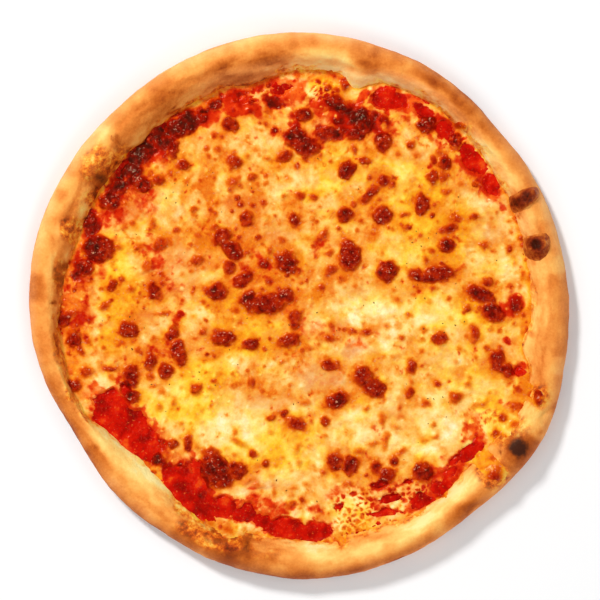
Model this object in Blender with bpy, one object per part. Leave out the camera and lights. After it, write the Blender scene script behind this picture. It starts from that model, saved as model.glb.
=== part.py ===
"""A thirty-centimetre margherita pizza, straight from the oven and uncut, without its plate.

The dough is one piece with a puffed rim. A layer of tomato sauce and a sheet of melted, blistered
mozzarella lie in it, and two browned blobs of cheese sit on the rim at its right-hand side.
"""

import math

import bmesh
import bpy
from mathutils import Vector

MM = 0.001

# Driving dimensions
PIZZA_RADIUS = 150 * MM  # mean radius of the outline
BED_RADIUS = 128.5 * MM  # mean radius at which the rim meets the topping
RIM_HEIGHT = 16 * MM  # mean height of the rim's crest above the table
BASE_THICKNESS = 4.5 * MM  # dough under the topping
SAUCE_THICKNESS = 1.2 * MM
CHEESE_THICKNESS = 2.4 * MM
CHEESE_EDGE = 0.9 * MM  # thickness that the cheese keeps at its melted edge
GAP = 0.3 * MM  # room left between neighbouring pieces
DRAPE_GAP = 0.6 * MM  # room left where cheese lies over the curve of the rim

# The rim's section
FOOT_INSET = 5 * MM  # the outline stands this far outside the flat underside
CREST_INSET = 10 * MM  # the crest stands this far inside the outline
WIDEST_SHARE = 0.42  # share of the rim's height at which it is widest
SLOPE_POWER = 0.85  # under 1 is a fuller inner slope

# The round is uneven, so its middle stands a little off the part's origin
MIDDLE = Vector((2.0 * MM, 0.25 * MM, 0))

# Unevenness round the rim: direction and spread in degrees, then the rise or fall
OUTLINE_LOBES = (
    (22, 32, -2.8 * MM),
    (41, 8, -1.6 * MM),
    (100, 28, 2.0 * MM),
    (168, 24, 2.9 * MM),
    (211, 13, -4.6 * MM),
    (236, 12, -1.6 * MM),
    (275, 22, 2.4 * MM),
    (308, 7, -1.0 * MM),
    (331, 12, 3.1 * MM),
)
BED_LOBES = (
    (8, 14, -3.0 * MM),
    (60, 14, 3.5 * MM),
    (101, 7, -3.0 * MM),
    (125, 20, -1.5 * MM),
    (188, 18, 6.5 * MM),
    (202, 8, 4.0 * MM),
    (224, 12, -7.5 * MM),
    (246, 8, 3.5 * MM),
    (277, 6, 3.5 * MM),
    (286, 5, -4.0 * MM),
    (300, 7, 2.5 * MM),
    (317, 6, -4.5 * MM),
    (338, 8, 5.0 * MM),
)
HEIGHT_LOBES = (
    (20, 30, -1.5 * MM),
    (52, 7, 0.9 * MM),
    (76, 6, -0.8 * MM),
    (115, 35, 2.6 * MM),
    (126, 6, -0.8 * MM),
    (145, 8, 1.0 * MM),
    (166, 7, -0.9 * MM),
    (193, 9, 0.9 * MM),
    (225, 15, -1.5 * MM),
    (256, 8, 1.2 * MM),
    (277, 6, -0.7 * MM),
    (300, 18, 1.2 * MM),
    (327, 6, 1.2 * MM),
    (348, 6, -0.9 * MM),
)

# Where the cheese stops short of the rim and bare sauce shows (falls), or climbs on to it (rises)
CHEESE_INSET = 2.5 * MM
CHEESE_LOBES = (
    (40, 6, -9 * MM),
    (67, 5, -10 * MM),
    (96, 8, -10 * MM),
    (112, 6, -7 * MM),
    (175, 14, -6 * MM),
    (205, 8, -4 * MM),
    (216, 9, -19 * MM),
    (237, 7, -19 * MM),
    (250, 9, -17 * MM),
    (268, 9, -16 * MM),
    (285, 6, 4 * MM),
    (303, 8, -14 * MM),
    (319, 5, 8 * MM),
    (340, 6, -4 * MM),
)

# Main blisters of the cheese, in millimetres from the middle: x, y, length, width, turn, height
BLISTERS = (
    (-67, 101, 19, 13, 20, 3.0),
    (-89, 82, 18, 11, 45, 2.4),
    (-114, 32, 17, 15, 0, 3.0),
    (-41, 101, 10, 9, 0, 2.2),
    (-1, 90, 17, 11, 0, 2.4),
    (33, 101, 17, 12, 80, 3.0),
    (25, 75, 12, 9, 0, 2.0),
    (79, 79, 10, 9, 45, 2.0),
    (85, 91, 10, 9, 0, 2.0),
    (80, 43, 16, 14, 90, 2.2),
    (44, 50, 13, 10, 0, 2.2),
    (26, 28, 17, 13, 75, 3.0),
    (47, 19, 12, 11, 0, 2.4),
    (74, 17, 25, 9, 10, 2.2),
    (106, -4, 14, 10, 140, 2.6),
    (109, -32, 15, 10, 90, 2.4),
    (-39, 31, 15, 12, 30, 2.4),
    (-9, 24, 13, 10, 60, 2.2),
    (-48, 8, 13, 10, 0, 2.4),
    (-21, -1, 27, 12, 10, 2.4),
    (-44, -18, 14, 10, 20, 2.4),
    (-97, -13, 11, 10, 0, 2.0),
    (-95, -44, 13, 10, 90, 2.2),
    (39, -46, 11, 9, 0, 2.2),
    (19, -53, 13, 9, 35, 2.2),
    (-4, -66, 11, 8, 160, 2.2),
    (-47, -89, 22, 12, 80, 3.0),
    (23, -88, 18, 11, 0, 2.6),
    (44, -93, 15, 10, 150, 2.6),
    (67, -93, 13, 11, 0, 2.6),
)

# Browned cheese on the rim: the lobes of each blob as x, y and radius in millimetres, then its height
RIM_BLOBS = {
    "rim_cheese_blob_upper": ((120, 58, 6.0), (127, 62, 5.0), 2.2 * MM),
    "rim_cheese_blob_lower": ((128.5, 33.5, 7.5), (136, 36.5, 5.0), 2.2 * MM),
}

# Fineness of the faceted solids
RIM_SEGMENTS = 108
SIDE_STEPS = 3
TOP_STEPS = 4
SLOPE_STEPS = 6
CHEESE_RINGS = 28
BLOB_RINGS = 5


def lobes(angle, table):
    """Sum of the lobes at an angle in degrees, each one a bell round its own direction."""
    total = 0.0
    for direction, spread, rise in table:
        off = (angle - direction + 180) % 360 - 180
        total += rise * math.exp(-((off / spread) ** 2))
    return total


def outer_radius(angle):
    return PIZZA_RADIUS + lobes(angle, OUTLINE_LOBES)


def bed_radius(angle):
    return BED_RADIUS + lobes(angle, BED_LOBES)


def rim_height(angle):
    return RIM_HEIGHT + lobes(angle, HEIGHT_LOBES)


def cheese_radius(angle):
    return bed_radius(angle) - CHEESE_INSET + lobes(angle, CHEESE_LOBES)


def slope_height(share, top):
    """Height of the rim's inner slope, at a share of the way from its crest in to the topping."""
    return BASE_THICKNESS + (top - BASE_THICKNESS) * (1 - share * share) ** SLOPE_POWER


def rim_profile(angle):
    """Radius and height down the rim's section: up from the foot, over the crest, down to the bed."""
    outer, bed, top = outer_radius(angle), bed_radius(angle), rim_height(angle)
    crest = outer - CREST_INSET
    widest = WIDEST_SHARE * top
    profile = []
    for step in range(SIDE_STEPS + 1):
        turn = math.pi / 2 * step / SIDE_STEPS
        profile.append((outer - FOOT_INSET * (1 - math.sin(turn)), widest * (1 - math.cos(turn))))
    for step in range(1, TOP_STEPS + 1):
        turn = math.pi / 2 * step / TOP_STEPS
        profile.append((crest + CREST_INSET * math.cos(turn), widest + (top - widest) * math.sin(turn)))
    for step in range(1, SLOPE_STEPS + 1):
        share = step / SLOPE_STEPS
        profile.append((crest + (bed - crest) * share, slope_height(share, top)))
    return profile


def crust_height(x, y):
    """Height of the dough's upper surface at a place on it."""
    angle, radius = math.degrees(math.atan2(y, x)), math.hypot(x, y)
    outer, bed, top = outer_radius(angle), bed_radius(angle), rim_height(angle)
    crest = outer - CREST_INSET
    if radius <= bed:
        return BASE_THICKNESS
    if radius <= crest:
        return slope_height((crest - radius) / (crest - bed), top)
    widest = WIDEST_SHARE * top
    out = min(1.0, (radius - crest) / CREST_INSET)
    return widest + (top - widest) * math.sqrt(1 - out * out)


def topping_bed(x, y):
    """Height at which cheese lies at a place: on the sauce, or on the rim where it has run over it."""
    return max(BASE_THICKNESS + SAUCE_THICKNESS + 2 * GAP, crust_height(x, y) + DRAPE_GAP)


def blister_height(x, y):
    """Rise of the cheese at a place, from the tallest blister that covers it."""
    tallest = 0.0
    for centre_x, centre_y, length, width, turn, height in BLISTERS:
        away = Vector((x / MM - centre_x, y / MM - centre_y))
        along = Vector((math.cos(math.radians(turn)), math.sin(math.radians(turn))))
        share = (away.dot(along) / (length / 2)) ** 2 + (away.cross(along) / (width / 2)) ** 2
        if share < 1:
            tallest = max(tallest, height * MM * (1 - share) ** 0.6)
    return tallest


def ring_of(mesh, count, place):
    """A closed ring of vertices, each at the place that a function gives for its angle."""
    return [mesh.verts.new(place(360 * step / count)) for step in range(count)]


def at(angle, radius, height):
    turn = math.radians(angle)
    return Vector((radius * math.cos(turn), radius * math.sin(turn), height))


def join_rings(mesh, lower, upper):
    """Quads between two rings of as many vertices, facing out when the second one is the higher."""
    for step in range(len(lower)):
        after = (step + 1) % len(lower)
        mesh.faces.new((lower[step], lower[after], upper[after], upper[step]))


def even_disc(mesh, rings, place):
    """A disc of even triangles that faces up, and its outermost ring. Ring number k has 6k vertices."""
    inside = [mesh.verts.new(place(0, 0))]
    for number in range(1, rings + 1):
        count = 6 * number
        ring = [mesh.verts.new(place(360 * step / count, number / rings)) for step in range(count)]
        for sector in range(6):
            start, start_inside = sector * number, sector * (number - 1)
            for step in range(number):
                here = ring[start + step]
                after = ring[(start + step + 1) % count]
                core = inside[(start_inside + step) % len(inside)]
                mesh.faces.new((here, after, core))
                if step < number - 1:
                    next_core = inside[(start_inside + step + 1) % len(inside)]
                    mesh.faces.new((after, next_core, core))
        inside = ring
    return inside


def finished(name, mesh, colour, roughness):
    """The object of a node: its mesh, shaded smooth, with its own material, at the pizza's middle."""
    data = bpy.data.meshes.new(name)
    mesh.to_mesh(data)
    mesh.free()
    data.shade_smooth()
    data.set_sharp_from_angle(angle=math.radians(50))
    material = bpy.data.materials.new(name)
    material.use_nodes = True
    shader = material.node_tree.nodes["Principled BSDF"]
    shader.inputs["Base Color"].default_value = (*colour, 1)
    shader.inputs["Roughness"].default_value = roughness
    shader.inputs["Metallic"].default_value = 0
    data.materials.append(material)
    node = bpy.data.objects.new(name, data)
    node.location = MIDDLE
    bpy.context.collection.objects.link(node)
    return node


def add_dough():
    mesh = bmesh.new()
    profiles = [rim_profile(360 * step / RIM_SEGMENTS) for step in range(RIM_SEGMENTS)]
    rings = []
    for level in range(len(profiles[0])):
        ring = []
        for step, profile in enumerate(profiles):
            radius, height = profile[level]
            ring.append(mesh.verts.new(at(360 * step / RIM_SEGMENTS, radius, height)))
        rings.append(ring)
    for lower, upper in zip(rings, rings[1:]):
        join_rings(mesh, lower, upper)
    mesh.faces.new(reversed(rings[0]))
    mesh.faces.new(rings[-1])
    return finished("dough", mesh, (0.80, 0.43, 0.16), 0.75)


def add_tomato_sauce():
    bottom = BASE_THICKNESS + GAP
    top = bottom + SAUCE_THICKNESS
    edge = SAUCE_THICKNESS / 2
    mesh = bmesh.new()
    levels = ((bottom, edge), (bottom + edge, 0), (top, edge))
    rings = [
        ring_of(mesh, RIM_SEGMENTS, lambda angle: at(angle, bed_radius(angle) - 2 * GAP - inset, height))
        for height, inset in levels
    ]
    for lower, upper in zip(rings, rings[1:]):
        join_rings(mesh, lower, upper)
    mesh.faces.new(reversed(rings[0]))
    mesh.faces.new(rings[-1])
    return finished("tomato_sauce", mesh, (0.50, 0.02, 0.008), 0.3)


def add_mozzarella():
    def top_place(angle, share):
        point = at(angle, cheese_radius(angle) * share, 0)
        body = (CHEESE_THICKNESS - CHEESE_EDGE) * math.sqrt(1 - share**10)
        point.z = topping_bed(point.x, point.y) + CHEESE_EDGE + body + blister_height(point.x, point.y)
        return point

    def under_place(share):
        def place(angle):
            point = at(angle, cheese_radius(angle) * share, 0)
            point.z = topping_bed(point.x, point.y)
            return point

        return place

    mesh = bmesh.new()
    rim = even_disc(mesh, CHEESE_RINGS, top_place)
    edge = ring_of(mesh, len(rim), under_place(1))
    inner = ring_of(mesh, len(rim), under_place(0.85))
    join_rings(mesh, edge, rim)
    join_rings(mesh, inner, edge)
    mesh.faces.new(reversed(inner))
    return finished("mozzarella", mesh, (0.92, 0.62, 0.22), 0.35)


def add_rim_blob(name, first, second, height):
    """Two round lobes run into one, lying over the curve of the rim."""
    lobe_places = [Vector((x * MM, y * MM)) for x, y, _ in (first, second)]
    lobe_radii = [radius * MM for _, _, radius in (first, second)]
    middle = sum(lobe_places, Vector((0, 0))) / 2

    def reach(angle):
        """Distance from the middle to the outline of the joined lobes."""
        along = Vector((math.cos(math.radians(angle)), math.sin(math.radians(angle))))
        furthest = 0.0
        for place, radius in zip(lobe_places, lobe_radii):
            off = place - middle
            ahead, aside = off.dot(along), off.cross(along)
            if abs(aside) < radius:
                furthest = max(furthest, ahead + math.sqrt(radius**2 - aside**2))
        return furthest

    def place_at(lift):
        def place(angle, share):
            spot = middle + at(angle, reach(angle) * share, 0).xy
            return Vector((spot.x, spot.y, topping_bed(spot.x, spot.y) + lift(share)))

        return place

    mesh = bmesh.new()
    rim = even_disc(mesh, BLOB_RINGS, place_at(lambda share: height * (0.3 + 0.7 * math.sqrt(1 - share**3))))
    edge = even_disc(mesh, BLOB_RINGS, place_at(lambda share: 0))
    join_rings(mesh, edge, rim)
    bmesh.ops.recalc_face_normals(mesh, faces=mesh.faces)
    return finished(name, mesh, (0.30, 0.08, 0.02), 0.45)


for old in list(bpy.data.objects):
    bpy.data.objects.remove(old)

add_dough()
add_tomato_sauce()
add_mozzarella()
for name, (first, second, height) in RIM_BLOBS.items():
    add_rim_blob(name, first, second, height)
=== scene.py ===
import math
from collections import namedtuple

import bpy
import numpy as np
from mathutils import Matrix, Vector


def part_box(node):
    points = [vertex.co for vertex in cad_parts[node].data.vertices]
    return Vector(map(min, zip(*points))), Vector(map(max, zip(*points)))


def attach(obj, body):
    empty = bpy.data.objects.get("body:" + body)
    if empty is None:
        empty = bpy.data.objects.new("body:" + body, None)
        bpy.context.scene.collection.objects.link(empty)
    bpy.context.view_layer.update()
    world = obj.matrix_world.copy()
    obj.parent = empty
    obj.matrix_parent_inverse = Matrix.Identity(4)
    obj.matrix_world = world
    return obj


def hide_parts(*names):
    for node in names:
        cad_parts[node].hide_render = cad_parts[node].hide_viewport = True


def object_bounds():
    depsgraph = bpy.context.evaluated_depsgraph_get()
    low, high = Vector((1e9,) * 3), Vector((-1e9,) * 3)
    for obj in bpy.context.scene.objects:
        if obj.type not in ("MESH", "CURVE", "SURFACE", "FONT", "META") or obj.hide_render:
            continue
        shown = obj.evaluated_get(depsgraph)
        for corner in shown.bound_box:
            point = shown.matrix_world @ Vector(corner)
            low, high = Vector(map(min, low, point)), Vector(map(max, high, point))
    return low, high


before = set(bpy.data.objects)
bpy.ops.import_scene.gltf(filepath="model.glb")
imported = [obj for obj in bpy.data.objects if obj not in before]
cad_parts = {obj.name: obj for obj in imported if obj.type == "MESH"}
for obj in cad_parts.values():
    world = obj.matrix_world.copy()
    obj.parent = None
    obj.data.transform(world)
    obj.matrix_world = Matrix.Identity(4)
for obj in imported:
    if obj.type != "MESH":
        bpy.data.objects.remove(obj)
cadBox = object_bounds()
print("packed frame loaded:", ", ".join(sorted(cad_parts)))

mm = 0.001

# The round: all in millimetres and degrees, measured from its own middle.
# Each lobe is a direction, a spread and a rise or fall.
roundShape = {
    "radius": 150.0,
    "bed": 128.5,
    "height": 16.0,
    "footInset": 5.0,
    "crestInset": 10.0,
    "widestShare": 0.42,
    "slopePower": 0.85,
    "outlineLobes": (
        (22, 32, -2.8), (41, 8, -1.6), (100, 28, 2.0), (168, 24, 2.9), (211, 13, -4.6),
        (236, 12, -1.6), (275, 22, 2.4), (308, 7, -1.0), (331, 12, 3.1),
    ),
    "bedLobes": (
        (8, 14, -2.5), (58, 13, 4.2), (76.5, 3, -6.0), (85, 4, 3.0), (93, 4, 1.5), (102, 5, -3.0),
        (125, 20, -1.5), (188, 18, 6.5), (202, 8, 4.0), (207, 4, 2.0), (225, 12, -5.5), (246, 8, 3.5),
        (268, 8, 1.5), (277, 7, 2.5), (302, 8, 3.0), (317, 6, -1.5), (338, 9, 6.0), (350, 5, -6.0),
    ),
    "heightLobes": (
        (20, 30, -1.5), (52, 7, 0.9), (76, 6, -0.8), (115, 35, 2.4), (126, 6, -0.8),
        (145, 8, 1.0), (166, 7, -0.9), (193, 9, 0.9), (225, 15, -1.5), (256, 8, 1.2),
        (277, 6, -0.7), (300, 18, 1.2), (327, 6, 1.2), (348, 6, -0.9),
    ),
    "fray": 1.5,             # fine unevenness of the bed's edge
}


def lobes(angle, table):
    total = np.zeros_like(np.asarray(angle, float))
    for direction, spread, rise in table:
        off = (angle - direction + 180) % 360 - 180
        total = total + rise * np.exp(-((off / spread) ** 2))
    return total


def placeAt(radius, angle):
    # x and y at a radius and an angle in degrees
    return radius * np.cos(np.radians(angle)), radius * np.sin(np.radians(angle))


def outlineAt(angle):
    return roundShape["radius"] + lobes(angle, roundShape["outlineLobes"])


def bedEdgeAt(angle):
    fray = roundShape["fray"] * sway(*placeAt(roundShape["bed"], angle), 9, 71)
    return roundShape["bed"] + lobes(angle, roundShape["bedLobes"]) + fray


def rimHeightAt(angle):
    return roundShape["height"] + lobes(angle, roundShape["heightLobes"])


# Levels of the layers in mm and the middle of the round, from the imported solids
sauceLow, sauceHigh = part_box("tomato_sauce")
doughLow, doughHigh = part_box("dough")
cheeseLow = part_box("mozzarella")[0]
bedLevel = sauceLow.z / mm - 0.3
sauceLevel = sauceHigh.z / mm
cheeseLevel = cheeseLow.z / mm + 2.0


def middleOfRound():
    # where the round's own middle stands, so that its outline fills the dough's box
    angle = np.arange(0, 360, 0.5)
    x, y = placeAt(outlineAt(angle), angle)
    own = np.array([x.min() + x.max(), y.min() + y.max()]) / 2
    packed = np.array([doughLow.x + doughHigh.x, doughLow.y + doughHigh.y]) / 2 / mm
    return packed - own


middle = middleOfRound()
toMiddle = Matrix.Translation((*middle * mm, 0))
print("middle of the round, mm:", middle.round(2))


# Grain: even random noise, drawn afresh from a seed each time

def grain(x, y, size, seed):
    # smooth noise from 0 to 1 with cells of that size in mm
    count = 128
    knots = np.random.default_rng(seed).random((count, count))
    u, v = x / size, y / size
    column, row = np.floor(u).astype(int), np.floor(v).astype(int)
    s, t = u - column, v - row
    s, t = s * s * (3 - 2 * s), t * t * (3 - 2 * t)
    left, right = column % count, (column + 1) % count
    near, far = row % count, (row + 1) % count
    low = knots[left, near] * (1 - s) + knots[right, near] * s
    high = knots[left, far] * (1 - s) + knots[right, far] * s
    return low * (1 - t) + high * t


def mottle(x, y, size, seed, layers=3):
    # several layers of grain, each half the size of the last and turned a little
    total, whole, weight = 0, 0, 1.0
    for layer in range(layers):
        turn = 0.7 + 1.1 * layer
        u = x * math.cos(turn) + y * math.sin(turn)
        v = y * math.cos(turn) - x * math.sin(turn)
        total = total + weight * grain(u, v, size, seed + layer)
        whole += weight
        weight *= 0.55
        size *= 0.5
    return total / whole


def sway(x, y, size, seed, layers=3):
    # the same from -1 to 1
    return 2 * mottle(x, y, size, seed, layers) - 1


def stirred(x, y, size, reach, seed):
    # the same places pushed about by up to reach mm, which frays the edges of marks
    return x + reach * sway(x, y, size, seed), y + reach * sway(x, y, size, seed + 50)


def nearCells(x, y, cell, seed, traits=0):
    # for the cell that each place lies in and the eight round it: how far its point is in mm, and its traits
    count = 64
    knots = np.random.default_rng(seed).random((2 + traits, count, count))
    column, row = np.floor(x / cell).astype(int), np.floor(y / cell).astype(int)
    for i in (-1, 0, 1):
        for j in (-1, 0, 1):
            right, ahead, *own = knots[:, (column + i) % count, (row + j) % count]
            yield np.hypot(x - (column + i + right) * cell, y - (row + j + ahead) * cell), *own


def pips(x, y, cell, share, smallest, largest, seed):
    # scattered round spots, at most one in a cell: from 1 at a spot's middle to 0 at its edge
    total = np.zeros_like(x)
    for far, size, power, lot in nearCells(x, y, cell, seed, 3):
        reach = smallest + (largest - smallest) * size * size
        spot = (0.35 + 0.65 * power) * np.clip(1 - far / reach, 0, 1)
        total = np.maximum(total, np.where(lot < share, spot, 0))
    return total


def webbing(x, y, cell, seed):
    # distance in mm from the borders between uneven cells
    first, second = np.full_like(x, np.inf), np.full_like(x, np.inf)
    for (far,) in nearCells(x, y, cell, seed):
        second = np.minimum(second, np.maximum(far, first))
        first = np.minimum(first, far)
    return (second - first) / 2


def ease(value, low, high):
    t = np.clip((value - low) / (high - low), 0, 1)
    return t * t * (3 - 2 * t)


# A mark is an oval, in mm and degrees from the middle of the round
Mark = namedtuple("Mark", "x y length width turn strength")


def listed(table):
    # a table's marks one by one; it holds them by strength, and a mark's turn may be left out
    return [Mark(*(*place, 0)[:5], strength) for strength, places in table.items() for place in places]


def away(x, y, mark):
    # distance from a mark's middle, 1 at its edge
    turn = math.radians(mark.turn)
    dx, dy = x - mark.x, y - mark.y
    along = (dx * math.cos(turn) + dy * math.sin(turn)) / (mark.length / 2)
    across = (dy * math.cos(turn) - dx * math.sin(turn)) / (mark.width / 2)
    return np.hypot(along, across)


def spots(x, y, marks, soft=0.35):
    # strength of the strongest mark at each place
    total = np.zeros_like(x)
    for mark in listed(marks):
        far = away(x, y, mark)
        total = np.maximum(total, mark.strength * (1 - ease(far, 1 - soft, 1 + soft)))
    return total


def burns(x, y, marks, reach, seed):
    # two masks: the marks, darkest in the middle, and a glow that dies away over reach mm round them
    body, glow = np.zeros_like(x), np.zeros_like(x)
    ragged = sway(x, y, 3.2, seed)
    for mark in listed(marks):
        far = away(x, y, mark)
        beyond = (far - 1) * min(mark.length, mark.width) / 2 + ragged
        depth = mark.strength * (1.08 - 0.32 * np.clip(far, 0, 1) ** 2)
        body = np.maximum(body, depth * (1 - ease(beyond, -1.6, 1.3)))
        glow = np.maximum(glow, mark.strength * np.exp(-np.maximum(beyond, 0) / reach))
    return body, glow


def domes(x, y, marks, share, most):
    # height of rounded bumps over the marks, in mm
    total = np.zeros_like(x)
    for mark in listed(marks):
        rise = min(most, share * min(mark.length, mark.width))
        total = np.maximum(total, rise * np.clip(1 - (away(x, y, mark) / 1.08) ** 2, 0, 1) ** 0.65)
    return total


# Where the oven and the sauce have left their marks: tables of marks by strength, each mark being
# x, y, length, width and turn

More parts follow.
